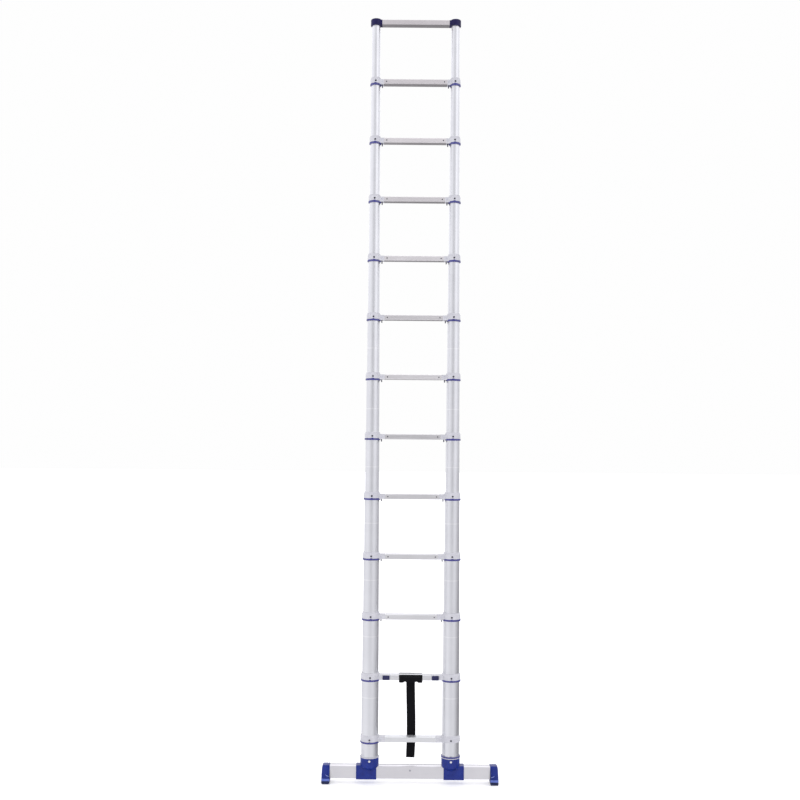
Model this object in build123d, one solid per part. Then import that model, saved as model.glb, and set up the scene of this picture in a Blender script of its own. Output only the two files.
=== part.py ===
"""Telescoping ladder: nested round rails, box-section rungs, moulded collars and a stabiliser bar.

Frame: +Z up, +X along the rungs, -Y towards the climber. The origin is on the floor, midway
between the two rails. The ladder stands at its full length, every section locked out.
"""
from build123d import *
from math import cos, pi, sin
import os

os.makedirs("parts", exist_ok=True)

# Overall layout
rail_spacing = 397.0  # between the axes of the two rails
rung_pitch = 295.0
rung_count = 13
bottom_rung_z = 215.0
button_rung_rise = 301.0  # from the bottom rung to the button rung above it
top_rung_lift = 5.0  # the top rung sits this much above its place in the even row
floor_to_bar = 26.0

# Nested tubes. The outermost pair carries the two lowest rungs, and each other pair carries one.
outer_tube_diameter = 82.5
tube_wall = 1.35
tube_clearance = 0.5  # radial gap between one tube and the next
tube_overlap = 75.0  # how much of a sliding tube stays inside the one below at full length

# Rungs
rung_depth = 45.0
rung_height = 25.0
rung_wall = 1.8
rung_corner = 4.0
groove_count = 7
groove_width = 2.2
groove_pitch = 5.0
groove_depth = 0.8

# Collars, with heights counted from the middle of their rung
collar_wall = 4.5
collar_bottom = -8.0
collar_shoulder = 13.0
collar_top = 23.0
collar_lip = 0.8  # what the collar stands proud of its tube at the very top
tube_seat = 12.0  # where the tube's end stops inside the collar
bottom_arm_length = 33.75  # from the tube's surface to the end of the aluminium rung
arm_length_step = 1.65  # each sliding section's arms are this much shorter than those below
button_arm_length = 58.25
top_arm_length = 9.6
spigot_length = 30.0
spigot_clearance = 0.15
ring_wall = 5.2
ring_height = 9.0
ring_bore_clearance = 0.3
ring_peak_width = 20.0
ring_peak_height = 2.5
ring_peak_thickness = 1.0
ring_relief = 0.5  # kept free round a ring where the collar's arm passes over it
cap_wall = 6.6
cap_bottom = -14.0
cap_top = 18.0
cap_edge_radius = 5.0
stack_gap = 3.0  # left between a collar and the ring above it when the ladder is closed

# Latches under the sliding rungs
latch_offset = 8.0  # from the tube's surface to the tab
latch_width = 5.0
latch_depth = 16.0
latch_drop = 12.0  # what the tab shows below its rung
latch_root = 8.0  # what the tab hides in its pocket
latch_travel = 7.0
latch_clearance = 0.3

# Release buttons and lock pins in the button rung
button_offset = 19.5  # from the tube's surface to the button
button_width = 34.0
button_height = 22.0
button_thickness = 5.0
button_corner = 4.0
button_gap = 0.3
button_travel = 10.0
grip_count = 5
grip_width = 1.4
stem_width = 10.0
stem_height = 7.0
pin_diameter = 8.0
pin_clearance = 0.2
pin_tip_gap = 0.4  # from the pin's tip to the inner face of the tube wall that it stands in
carrier_depth = 14.0
housing_wall = 3.0
housing_end_wall = 4.0
spring_wire = 1.0
spring_diameter = 8.0
spring_turns = 2

# Stabiliser bar, its brackets and its ends
bar_length = 852.0
bar_depth = 40.0
bar_height = 60.0
bar_wall = 2.0
bar_corner = 3.0
bracket_wall = 4.0
bracket_outboard = 65.0  # from the rail's axis outwards
bracket_inboard = 34.0
socket_wall = 3.75
socket_height = 43.0
gusset_height = 20.0
bolt_diameter = 8.0
bolt_head_diameter = 11.0
bolt_head_height = 4.0
spot_face_depth = 1.0  # how deep the bolt's seats are cut into the round socket
spot_face_margin = 0.5
bolt_height = 30.0  # above the bar's top
cap_sleeve = 34.0  # how much of the bar each end cap covers
cap_skin = 4.0
end_cap_slant = 5.0
foot_depth = 70.0
foot_pad_height = 14.0
foot_waist = 30.0  # height at which the end cap starts to widen
pad_lip = 2.0

# Carrying strap on the button rung
wrap_width = 115.0
wrap_thickness = 3.0
wrap_hang = 10.5  # what the front flap hangs below the rung
wrap_rise = 3.0  # what the rear flap stands above the rung
strap_width = 43.0
strap_drop = 401.0  # from the middle of the button rung to the strap's free end

# Derived sizes
rail_x = rail_spacing / 2
tube_count = rung_count - 1
bar_top = floor_to_bar + bar_height
sliding_tube_length = rung_pitch + tube_overlap
collar_stack = collar_top - collar_bottom + ring_height
closed_pitch = max(collar_stack, rung_height + latch_drop) + stack_gap


def rung_z(rung):
    """Height of a rung's middle. Rungs count from 1 at the bottom."""
    if rung == 1:
        return bottom_rung_z
    lift = top_rung_lift if rung == rung_count else 0.0
    return bottom_rung_z + button_rung_rise + (rung - 2) * rung_pitch + lift


def carrier_tube(rung):
    """Index of the tube pair that carries a rung, 0 being the outermost."""
    return max(rung - 2, 0)


def tube_radius(tube):
    """Outer radius of a tube, counting inwards from 0."""
    return outer_tube_diameter / 2 - tube * (tube_wall + tube_clearance)


def arm_length(rung):
    """Distance from a tube's surface to the end of its aluminium rung."""
    if rung == 1:
        return bottom_arm_length
    if rung == 2:
        return button_arm_length
    if rung == rung_count:
        return top_arm_length
    return bottom_arm_length - (rung - 2) * arm_length_step


def rung_end(rung):
    """Distance from a rail's axis to the end of the aluminium rung."""
    return tube_radius(carrier_tube(rung)) + arm_length(rung)


def on_both_rails(shape, z=0.0):
    """Place a shape drawn on an axis at x = 0, inboard side +X, on the left and right rails."""
    left = Pos(-rail_x, 0, z) * shape
    right = Pos(rail_x, 0, z) * mirror(shape, about=Plane.YZ)
    return left, right


def save(node, *solids):
    """Write one node's solids to its STEP file."""
    shape = solids[0] if len(solids) == 1 else Compound(children=list(solids))
    export_step(shape, f"parts/{node}.step")


def turned(*points):
    """A ring turned about Z from the corners of its half section, given as (radius, height)."""
    return revolve(make_face(Plane.XZ * Polyline(*points, close=True)), Axis.Z)


def slab(x_range, y_range, z_range):
    """A plain box between three pairs of limits."""
    size = [high - low for low, high in (x_range, y_range, z_range)]
    middle = [(low + high) / 2 for low, high in (x_range, y_range, z_range)]
    return Pos(*middle) * Box(*size)


def bar_along_x(profile, start, end):
    """Extrude a profile drawn in (Y, Z) from x = start to x = end."""
    return Pos(start, 0, 0) * extrude(Plane.YZ * profile, end - start)


def tube(index):
    """One rail tube with its locking holes on the inboard side."""
    radius = tube_radius(index)
    top = rung_z(index + 2) + tube_seat
    bottom = bar_top + bracket_wall if index == 0 else top - sliding_tube_length
    body = Pos(0, 0, bottom) * Cylinder(radius, top - bottom, align=(Align.CENTER, Align.CENTER, Align.MIN))
    body -= Pos(0, 0, bottom) * Cylinder(
        radius - tube_wall, top - bottom, align=(Align.CENTER, Align.CENTER, Align.MIN)
    )
    hole_heights = []
    if index > 0:
        hole_heights.append(rung_z(index + 1))
    if index < tube_count - 1:
        hole_heights.append(rung_z(index + 2))
    drill = Rot(0, 90, 0) * Cylinder(
        pin_diameter / 2 + pin_clearance, radius + 1, align=(Align.CENTER, Align.CENTER, Align.MIN)
    )
    for z in hole_heights:
        body -= Pos(0, 0, z) * drill
    if index == 0:
        body -= Pos(0, 0, bar_top + bolt_height) * bolt_drill()
    return body


def bolt_drill():
    """The hole of the bolt that crosses the socket and the outermost tube from front to back."""
    return Rot(90, 0, 0) * Cylinder(bolt_diameter / 2, 4 * outer_tube_diameter)


def rung(number):
    """A hollow box-section rung with anti-slip grooves along its tread."""
    profile = RectangleRounded(rung_depth, rung_height, rung_corner)
    profile -= RectangleRounded(
        rung_depth - 2 * rung_wall, rung_height - 2 * rung_wall, rung_corner - rung_wall
    )
    first = -(groove_count - 1) / 2 * groove_pitch
    for groove in range(groove_count):
        y = first + groove * groove_pitch
        profile -= Pos(y, rung_height / 2) * Rectangle(groove_width, 2 * groove_depth)
    half = rail_x - rung_end(number)
    return Pos(0, 0, rung_z(number)) * bar_along_x(profile, -half, half)


def connector(radius, end):
    """The arm that joins a collar to its rung, with the spigot that enters the rung."""
    arm = bar_along_x(RectangleRounded(rung_depth, rung_height, rung_corner), 0, end)
    inset = rung_wall + spigot_clearance
    spigot_profile = RectangleRounded(
        rung_depth - 2 * inset, rung_height - 2 * inset, rung_corner - rung_wall
    )
    arm += bar_along_x(spigot_profile, end, end + spigot_length)
    return arm - Cylinder(radius, 4 * collar_top)


def collar_ring(number):
    """The round part of a collar. Above its own tube's end, the next tube passes through its lip."""
    radius = tube_radius(carrier_tube(number))
    body = turned(
        (radius, collar_bottom),
        (radius + collar_wall, collar_bottom),
        (radius + collar_wall, collar_shoulder),
        (radius + collar_lip, collar_top),
        (radius, collar_top),
    )
    if number > 1:
        body += turned(
            (radius - tube_wall, tube_seat),
            (radius, tube_seat),
            (radius, collar_top),
            (radius - tube_wall, collar_top),
        )
    return body


def latch_pocket(radius):
    """The slot that a latch tab slides in, open below."""
    start = radius + latch_offset - latch_clearance
    half_depth = latch_depth / 2 + latch_clearance
    roof = latch_root - rung_height / 2 + latch_travel + latch_clearance
    return slab(
        (start, start + latch_width + 2 * latch_clearance),
        (-half_depth, half_depth),
        (-rung_height, roof),
    )


def collar(number):
    """The collar of one rung, drawn about its rail's axis with the rung's middle at z = 0."""
    radius = tube_radius(carrier_tube(number))
    body = collar_ring(number) + connector(radius, rung_end(number))
    ring_space = radius + ring_bore_clearance + ring_wall + ring_relief
    body -= Pos(0, 0, collar_bottom) * Cylinder(
        ring_space, rung_height, align=(Align.CENTER, Align.CENTER, Align.MAX)
    )
    if number > 2:
        body -= latch_pocket(radius)
    return body


def button_x():
    """Where the middle of the left button lies, counted from its rail's axis."""
    return tube_radius(0) + button_offset + button_width / 2


def button_collar():
    """The collar of the button rung, hollowed for the pin, its carrier, the spring and the stem."""
    radius = tube_radius(0)
    end = rung_end(2)
    carrier_start = button_x() - stem_width
    cavity = slab(
        (carrier_start - 1, end - housing_end_wall),
        (housing_wall - rung_depth / 2, carrier_depth / 2 + 1),
        (housing_wall - rung_height / 2, rung_height / 2 - housing_wall),
    )
    slot_half_height = stem_height / 2 + button_gap
    slot = slab(
        (button_x() - stem_width / 2 - button_gap, button_x() + stem_width / 2 + button_travel + button_gap),
        (-rung_depth, 0),
        (-slot_half_height, slot_half_height),
    )
    pin_bore = bar_along_x(Circle(pin_diameter / 2 + pin_clearance), 0, button_x())
    return collar(2) - cavity - slot - pin_bore


def clamp_ring(radius):
    """The ring under a collar, with a raised peak at its front. Its top is at z = 0."""
    outer = radius + ring_wall + ring_bore_clearance
    ring = turned(
        (radius + ring_bore_clearance, -ring_height),
        (outer - 1, -ring_height),
        (outer, 1 - ring_height),
        (outer, -1),
        (outer - 1, 0),
        (radius + ring_bore_clearance, 0),
    )
    peak_bore = radius + collar_wall
    shell = turned(
        (peak_bore, -ring_height + 1),
        (peak_bore + ring_peak_thickness, -ring_height + 1),
        (peak_bore + ring_peak_thickness, ring_peak_height),
        (peak_bore, ring_peak_height),
    )
    outline = Polyline(
        (-ring_peak_width / 2, -1), (0, ring_peak_height), (ring_peak_width / 2, -1), close=True
    )
    wedge = extrude(Plane.XZ * make_face(outline), 2 * radius)
    return ring + (shell & wedge)


def top_cap():
    """The closed cap that joins the innermost tube to the top rung."""
    radius = tube_radius(tube_count - 1)
    height = cap_top - cap_bottom
    cap = Pos(0, 0, cap_bottom) * Cylinder(
        radius + cap_wall, height, align=(Align.CENTER, Align.CENTER, Align.MIN)
    )
    cap = fillet(cap.edges().group_by(Axis.Z)[-1], cap_edge_radius)
    cap = fillet(cap.edges().group_by(Axis.Z)[0], 1.0)
    cap += bar_along_x(
        RectangleRounded(rung_depth, rung_height, rung_corner), 0, rung_end(rung_count)
    )
    inset = rung_wall + spigot_clearance
    cap += bar_along_x(
        RectangleRounded(rung_depth - 2 * inset, rung_height - 2 * inset, rung_corner - rung_wall),
        rung_end(rung_count),
        rung_end(rung_count) + spigot_length,
    )
    bore = Pos(0, 0, tube_seat) * Cylinder(
        radius, 2 * height, align=(Align.CENTER, Align.CENTER, Align.MAX)
    )
    return cap - bore


def latch(number):
    """The tab under a sliding rung that releases the section above it."""
    start = tube_radius(carrier_tube(number)) + latch_offset
    foot = -rung_height / 2 - latch_drop
    tab = slab(
        (start, start + latch_width),
        (-latch_depth / 2, latch_depth / 2),
        (foot, latch_root - rung_height / 2),
    )
    return fillet(tab.edges().group_by(Axis.Z)[0].filter_by(Axis.X), latch_width / 2)


def release_button():
    """The thumb button with its grip ribs and the stem that reaches its pin's carrier."""
    face = -rung_depth / 2 - button_gap
    outline = RectangleRounded(button_width, button_height, button_corner)
    plate = Pos(button_x(), face, 0) * extrude(Plane.XZ * outline, button_thickness)
    plate = chamfer(plate.edges().group_by(Axis.Y)[0], 1.0)
    pitch = button_width / (grip_count + 1)
    for rib in range(grip_count):
        x = button_x() - button_width / 2 + (rib + 1) * pitch
        plate -= slab(
            (x - grip_width / 2, x + grip_width / 2),
            (face - button_thickness, face - button_thickness + 1),
            (-button_height / 2 + 3, button_height / 2 - 3),
        )
    stem = slab(
        (button_x() - stem_width / 2, button_x() + stem_width / 2),
        (face, -carrier_depth / 2),
        (-stem_height / 2, stem_height / 2),
    )
    return plate + stem


def lock_pin():
    """The pin that crosses the collar, with the carrier that the stem and the spring push on."""
    tip = tube_radius(0) - tube_wall + pin_tip_gap
    carrier_start = button_x() - stem_width
    carrier_end = button_x() + stem_width / 2
    pin = bar_along_x(Circle(pin_diameter / 2), tip, carrier_end)
    half_height = rung_height / 2 - housing_wall - 1
    return pin + slab(
        (carrier_start, carrier_end),
        (-carrier_depth / 2, carrier_depth / 2),
        (-half_height, half_height),
    )


def latch_spring():
    """The coil spring between a pin's carrier and the end wall of its housing."""
    start = button_x() + stem_width / 2
    end = rung_end(2) - housing_end_wall
    coil_radius = (spring_diameter - spring_wire) / 2
    length = end - start - spring_wire
    helix = Helix(length / spring_turns, length, coil_radius)
    wire = sweep(Plane(origin=helix @ 0, z_dir=helix % 0) * Circle(spring_wire / 2), path=helix)
    return Pos(start + spring_wire / 2, 0, 0) * Rot(0, 90, 0) * wire


def stabiliser_bar():
    """The hollow bar across the ladder's foot."""
    profile = RectangleRounded(bar_depth, bar_height, bar_corner)
    profile -= RectangleRounded(bar_depth - 2 * bar_wall, bar_height - 2 * bar_wall, bar_corner - 1)
    middle = floor_to_bar + bar_height / 2
    return Pos(0, 0, middle) * bar_along_x(profile, -bar_length / 2, bar_length / 2)


def bracket():
    """The socket that holds the outermost tube, on a block round the bar."""
    radius = tube_radius(0)
    outer = radius + socket_wall
    block = slab(
        (-bracket_outboard, bracket_inboard),
        (-bar_depth / 2 - bracket_wall, bar_depth / 2 + bracket_wall),
        (floor_to_bar - bracket_wall, bar_top + bracket_wall),
    )
    block = fillet(block.edges().filter_by(Axis.X), 3.0)
    socket = turned(
        (0, bar_top - gusset_height),
        (bar_depth / 2 + bracket_wall, bar_top - gusset_height),
        (outer, bar_top - 3),
        (outer, bar_top + socket_height - 2),
        (outer - 1.5, bar_top + socket_height),
        (0, bar_top + socket_height),
    )
    body = block + socket
    body -= Pos(0, 0, bar_top + bracket_wall) * Cylinder(
        radius, 2 * socket_height, align=(Align.CENTER, Align.CENTER, Align.MIN)
    )
    bar_hole = Rectangle(bar_depth, bar_height)
    body -= Pos(0, 0, floor_to_bar + bar_height / 2) * bar_along_x(
        bar_hole, -2 * bracket_outboard, 2 * bracket_outboard
    )
    spot_face = Pos(0, 0, outer - spot_face_depth) * Cylinder(
        bolt_head_diameter / 2 + spot_face_margin, outer, align=(Align.CENTER, Align.CENTER, Align.MIN)
    )
    for turn in (90, -90):
        body -= Pos(0, 0, bar_top + bolt_height) * Rot(turn, 0, 0) * spot_face
    return body - Pos(0, 0, bar_top + bolt_height) * bolt_drill()


def bracket_bolt():
    """The bolt that crosses a socket from front to back, with its nut."""
    seat = tube_radius(0) + socket_wall - spot_face_depth
    shank = Cylinder(bolt_diameter / 2, 2 * seat)
    head = Pos(0, 0, seat) * Cylinder(
        bolt_head_diameter / 2, bolt_head_height, align=(Align.CENTER, Align.CENTER, Align.MIN)
    )
    head = fillet(head.edges().group_by(Axis.Z)[-1], bolt_head_height / 2)
    nut = Pos(0, 0, -seat) * extrude(RegularPolygon(bolt_head_diameter / 2, 6), -bolt_head_height)
    return Pos(0, 0, bar_top + bolt_height) * Rot(90, 0, 0) * (shank + head + nut)


def end_cap():
    """The left end cap of the bar: a sleeve that widens below into the sole of the foot."""
    outer_end = -(bar_length / 2 + cap_skin + end_cap_slant / 2)
    inner_end = -bar_length / 2 + cap_sleeve
    half = bar_depth / 2 + cap_skin
    top = bar_top + cap_skin
    sole = foot_depth / 2
    side = Polyline(
        (-half, top),
        (-half, foot_waist),
        (-sole, foot_pad_height + pad_lip),
        (-sole, foot_pad_height),
        (sole, foot_pad_height),
        (sole, foot_pad_height + pad_lip),
        (half, foot_waist),
        (half, top),
        close=True,
    )
    front = Polyline(
        (inner_end, foot_pad_height),
        (inner_end, top),
        (outer_end + end_cap_slant, top),
        (outer_end, floor_to_bar + bar_height / 3),
        (outer_end, foot_pad_height),
        close=True,
    )
    body = bar_along_x(make_face(side), outer_end, inner_end)
    body = fillet(body.edges().group_by(Axis.Z)[-1].filter_by(Axis.X), 6.0)
    body &= extrude(Plane.XZ * make_face(front), foot_depth, both=True)
    hollow = slab(
        (-bar_length / 2, 0), (-bar_depth / 2, bar_depth / 2), (floor_to_bar, bar_top)
    )
    return body - hollow


def foot_pad():
    """The sole under the left end cap."""
    outer_end = -(bar_length / 2 + cap_skin + end_cap_slant / 2)
    inner_end = -bar_length / 2 + cap_sleeve
    pad = slab((outer_end, inner_end), (-foot_depth / 2, foot_depth / 2), (0, foot_pad_height))
    pad = fillet(pad.edges().filter_by(Axis.Z), 5.0)
    return fillet(pad.edges().group_by(Axis.Z)[0], 3.0)


def carry_strap():
    """The wrap under the button rung and the strap that hangs from its rear flap."""
    half = wrap_width / 2
    front = -rung_depth / 2
    rear = rung_depth / 2
    low = -rung_height / 2
    wrap = slab((-half, half), (front - wrap_thickness, front), (low - wrap_hang, rung_height / 2))
    wrap += slab((-half, half), (front, rear + wrap_thickness), (low - wrap_thickness, low))
    wrap += slab((-half, half), (rear, rear + wrap_thickness), (low, rung_height / 2 + wrap_rise))
    strap = slab(
        (-strap_width / 2, strap_width / 2),
        (rear + 0.3, rear + wrap_thickness),
        (-strap_drop, low),
    )
    return Pos(0, 0, rung_z(2)) * (wrap + strap)


# The fixed base
save("rails_base", *on_both_rails(tube(0)))
save("rung_01", rung(1))
save("rung_02", rung(2))

ring_under_collar = Pos(0, 0, collar_bottom) * clamp_ring(tube_radius(0))
left_bottom_collar, right_bottom_collar = on_both_rails(collar(1), rung_z(1))
left_bottom_ring, right_bottom_ring = on_both_rails(ring_under_collar, rung_z(1))
ring_drop = rung_z(1) + collar_bottom - ring_height - (bar_top + socket_height)
save(
    "collars_01",
    left_bottom_collar,
    right_bottom_collar,
    left_bottom_ring,
    Pos(0, 0, -ring_drop) * right_bottom_ring,
)
save(
    "collars_02",
    *on_both_rails(button_collar(), rung_z(2)),
    *on_both_rails(ring_under_collar, rung_z(2)),
)

left_button, right_button = on_both_rails(release_button(), rung_z(2))
save("release_button_left", left_button)
save("release_button_right", right_button)
left_pin, right_pin = on_both_rails(lock_pin(), rung_z(2))
save("lock_pin_left", left_pin)
save("lock_pin_right", right_pin)
save("latch_springs", *on_both_rails(latch_spring(), rung_z(2)))

save("stabiliser_bar", stabiliser_bar())
left_bracket, right_bracket = on_both_rails(bracket())
save("bracket_left", left_bracket)
save("bracket_right", right_bracket)
save("bracket_bolts", *on_both_rails(bracket_bolt()))
save("end_caps", end_cap(), mirror(end_cap(), about=Plane.YZ))
save("foot_pads", foot_pad(), mirror(foot_pad(), about=Plane.YZ))
save("carry_strap", carry_strap())

# The sliding sections, each named by the number of its rung
for number in range(3, rung_count + 1):
    save(f"rails_{number:02d}", *on_both_rails(tube(carrier_tube(number))))
    save(f"rung_{number:02d}", rung(number))

for number in range(3, rung_count):
    ring = Pos(0, 0, collar_bottom) * clamp_ring(tube_radius(carrier_tube(number)))
    save(
        f"collars_{number:02d}",
        *on_both_rails(collar(number), rung_z(number)),
        *on_both_rails(ring, rung_z(number)),
    )
    save(f"latches_{number:02d}", *on_both_rails(latch(number), rung_z(number)))

save("top_caps", *on_both_rails(top_cap(), rung_z(rung_count)))
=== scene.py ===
# %% [markdown]
# # A telescoping ladder in a white studio
# ## Load the ladder's frame
# The metal and plastic parts arrive at their real size, standing on the floor with the climber's side
# towards -Y. Everything made here is placed from those parts, in metres, so nothing is fitted by eye later.

from math import cos, pi, radians, sin

import bmesh
import bpy
from mathutils import Matrix, Vector


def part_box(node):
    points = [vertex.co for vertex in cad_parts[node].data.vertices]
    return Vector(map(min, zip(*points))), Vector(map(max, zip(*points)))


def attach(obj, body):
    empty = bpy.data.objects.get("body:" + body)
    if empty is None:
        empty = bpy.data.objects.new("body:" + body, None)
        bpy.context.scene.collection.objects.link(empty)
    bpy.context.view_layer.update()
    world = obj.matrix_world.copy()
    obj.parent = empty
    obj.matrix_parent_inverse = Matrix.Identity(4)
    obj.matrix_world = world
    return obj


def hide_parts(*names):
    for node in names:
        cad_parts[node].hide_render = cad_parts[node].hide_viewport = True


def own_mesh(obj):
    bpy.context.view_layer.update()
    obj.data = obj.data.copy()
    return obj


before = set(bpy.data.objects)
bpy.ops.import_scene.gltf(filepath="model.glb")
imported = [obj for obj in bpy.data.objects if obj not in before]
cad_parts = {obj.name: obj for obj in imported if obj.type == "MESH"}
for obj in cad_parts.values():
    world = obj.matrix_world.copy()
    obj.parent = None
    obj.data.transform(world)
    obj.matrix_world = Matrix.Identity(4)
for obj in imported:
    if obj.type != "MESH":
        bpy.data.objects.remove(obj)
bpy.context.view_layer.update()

# %% [markdown]
# ## Read the sizes that everything else follows
# Thirteen rungs hang on two rails. The rails are nested tubes, so each rung's collar sits on a tube that is a
# little thinner than the one below. Reading the radii and heights from the parts keeps the small hardware on
# their surfaces, whatever size they are.

# %% Read the driving sizes
MM = 0.001
RUNGS = range(1, 14)
SIDES = (-1, 1)
COLLAR_WALL = 4.5 * MM


def middle(node):
    """The middle of a node's box at rest."""
    low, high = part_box(node)
    return (Vector(low) + Vector(high)) / 2


def half_size(node):
    """Half of each side of a node's box at rest."""
    low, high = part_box(node)
    return (Vector(high) - Vector(low)) / 2


def rails_of(rung):
    """The tubes that carry a rung. The two lowest rungs share the outermost pair."""
    return "rails_base" if rung < 3 else f"rails_{rung:02d}"


def body_of(rung):
    """The moving body that a rung belongs to."""
    return "base" if rung < 3 else f"section_{rung:02d}"


rung_z = {n: middle(f"rung_{n:02d}").z for n in RUNGS}
rung_half_length = {n: half_size(f"rung_{n:02d}").x for n in RUNGS}
rail_radius = {n: half_size(rails_of(n)).y for n in RUNGS}
rail_x = half_size("rails_base").x - rail_radius[1]
rung_half_depth = half_size("rung_01").y
rung_half_height = half_size("rung_01").z
print("Rails stand at x = ±", round(rail_x, 4))
print("Rail radii in millimetres:", [round(r / MM, 1) for r in rail_radius.values()])

# %% [markdown]
# ## Place the camera
# A tall, narrow object is looked at from about five metres, at eye level. From there the lower treads show
# their tops and the upper ones their undersides, which tells the viewer how tall the ladder is. The camera
# leans by half a degree, as a hand-levelled one does.

# %% Place the camera
camera_data = bpy.data.cameras.new("camera")
camera_data.sensor_width = 36
camera_data.lens = 46.9
camera = bpy.data.objects.new("camera", camera_data)
camera.location = (-0.064, -5.166, 1.717)
camera.rotation_euler = (radians(90 + 1.784), radians(-0.494), radians(-0.014))
bpy.context.scene.collection.objects.link(camera)
bpy.context.scene.camera = camera
print("The lens covers", round(camera_data.angle * 180 / pi, 1), "degrees")

# %% [markdown]
# ## Tools for finishes
# No real surface is one flat colour. Each finish below starts from soft noise in the object's own
# coordinates, which shifts its colour, its roughness and its relief a little. These tools add the nodes for
# that.

# %% Write the finish tools
NOISE_LOW, NOISE_HIGH = 0.3, 0.7


def node_material(name, roughness, metallic=0.0):
    """An empty procedural material: its node tree, its shader and its object coordinates."""
    material = bpy.data.materials.new(name)
    material.use_nodes = True
    nodes = material.node_tree.nodes
    shader = nodes["Principled BSDF"]
    shader.inputs["Roughness"].default_value = roughness
    shader.inputs["Metallic"].default_value = metallic
    place = nodes.new("ShaderNodeTexCoord").outputs["Object"]
    return material, material.node_tree, shader, place


def noise(tree, place, scale, stretch=(1, 1, 1), detail=4.0):
    """Soft noise at a scale per metre, drawn out along the axes with the smaller stretch."""
    mapping = tree.nodes.new("ShaderNodeMapping")
    mapping.inputs["Scale"].default_value = stretch
    texture = tree.nodes.new("ShaderNodeTexNoise")
    texture.inputs["Scale"].default_value = scale
    texture.inputs["Detail"].default_value = detail
    tree.links.new(place, mapping.inputs["Vector"])
    tree.links.new(mapping.outputs["Vector"], texture.inputs["Vector"])
    return texture.outputs["Fac"]


def spread(tree, value, low, high):
    """Map noise onto a range of plain values."""
    ranged = tree.nodes.new("ShaderNodeMapRange")
    ranged.inputs["From Min"].default_value = NOISE_LOW
    ranged.inputs["From Max"].default_value = NOISE_HIGH
    ranged.inputs["To Min"].default_value = low
    ranged.inputs["To Max"].default_value = high
    tree.links.new(value, ranged.inputs["Value"])
    return ranged.outputs["Result"]


def blend_colours(tree, value, dark, light):
    """A colour between two others, steered by a value from 0 to 1."""
    mix = tree.nodes.new("ShaderNodeMix")
    mix.data_type = "RGBA"
    tree.links.new(value, mix.inputs["Factor"])
    for socket, colour in (("A", dark), ("B", light)):
        target = [s for s in mix.inputs if s.name == socket and s.type == "RGBA"][0]
        if isinstance(colour, bpy.types.NodeSocket):
            tree.links.new(colour, target)
        else:
            target.default_value = (*colour, 1)
    return [s for s in mix.outputs if s.type == "RGBA"][0]


def bump(tree, shader, height, depth, strength=1.0):
    """Turn a value into relief of a real depth in metres."""
    relief = tree.nodes.new("ShaderNodeBump")
    relief.inputs["Distance"].default_value = depth
    relief.inputs["Strength"].default_value = strength
    tree.links.new(height, relief.inputs["Height"])
    tree.links.new(relief.outputs["Normal"], shader.inputs["Normal"])


print("Noise between", NOISE_LOW, "and", NOISE_HIGH, "is spread over each range")

# %% [markdown]
# ## From mesh to object
# A finished mesh becomes an object with smooth shading, and its sharp edges are kept sharp. The object stays
# at the origin, because its place is in its mesh.

# %% Write the mesh tool
SHARP_ANGLE = 40


def link_mesh(mesh, name, material):
    """Put a finished bmesh into the scene as a smooth-shaded object."""
    mesh.normal_update()
    data = bpy.data.meshes.new(name)
    mesh.to_mesh(data)
    mesh.free()
    data.polygons.foreach_set("use_smooth", [True] * len(data.polygons))
    data.set_sharp_from_angle(angle=radians(SHARP_ANGLE))
    data.materials.append(material)
    piece = bpy.data.objects.new(name, data)
    bpy.context.scene.collection.objects.link(piece)
    return piece


print("Edges stay sharp above", SHARP_ANGLE, "degrees")

# %% [markdown]
# ## A seamless white floor
# The floor is a plain pale sheet with no edge in view. It is lit from below, as a light table is, so that it
# stays white right up to the ladder's feet. The room's light is drawn separately in the next step, so the
# sheet is left out of the metal's reflections.

# %% Make the floor
paper, tree, shader, place = node_material("floor_paper", 0.9)
tone = noise(tree, place, 1.5)
paper_colour = blend_colours(tree, tone, (0.93, 0.93, 0.935), (0.96, 0.96, 0.96))
tree.links.new(paper_colour, shader.inputs["Base Color"])
shader.inputs["Emission Color"].default_value = (1, 1, 1, 1)
shader.inputs["Emission Strength"].default_value = 0.30
mesh = bmesh.new()
bmesh.ops.create_grid(mesh, x_segments=4, y_segments=4, size=40)
floor = link_mesh(mesh, "floor", paper)
floor.visible_glossy = False
print("Floor faces:", len(floor.data.polygons))

# %% [markdown]
# ## A room drawn as three bands of light
# A round tube mirrors the whole room around it. Its middle mirrors what is behind the camera, and its edges
# mirror the walls at the sides. So the room is written as brightness against direction: one band for what
# lies above eye level, one for eye level itself, and one for the floor. The dark patch at the middle is the
# unlit side of the room, behind the camera. The right side of the floor is in shade, and shades the lower
# tubes.

# %% Write the room tools
world = bpy.data.worlds.new("studio")
world.use_nodes = True
bpy.context.scene.world = world
nodes, links = world.node_tree.nodes, world.node_tree.links


def room_math(operation, first, second):
    """One arithmetic node of the room. An input may be a socket or a plain number."""
    node = nodes.new("ShaderNodeMath")
    node.operation = operation
    for socket, value in zip(node.inputs, (first, second)):
        if isinstance(value, bpy.types.NodeSocket):
            links.new(value, socket)
        else:
            socket.default_value = value
    return node.outputs["Value"]


def room_band(turn, stops):
    """Brightness against direction, in degrees: 0 is behind the camera, 90 is the right-hand wall."""
    node = nodes.new("ShaderNodeValToRGB")
    node.color_ramp.interpolation = "EASE"
    elements = node.color_ramp.elements
    while len(elements) < len(stops):
        elements.new(0.5)
    for element, (degrees, value) in zip(elements, stops):
        element.position = (degrees + 180) / 360
        element.color = (value * 0.985, value * 0.98, value * 1.02, 1)
    links.new(turn, node.inputs["Fac"])
    return node.outputs["Color"]


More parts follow.
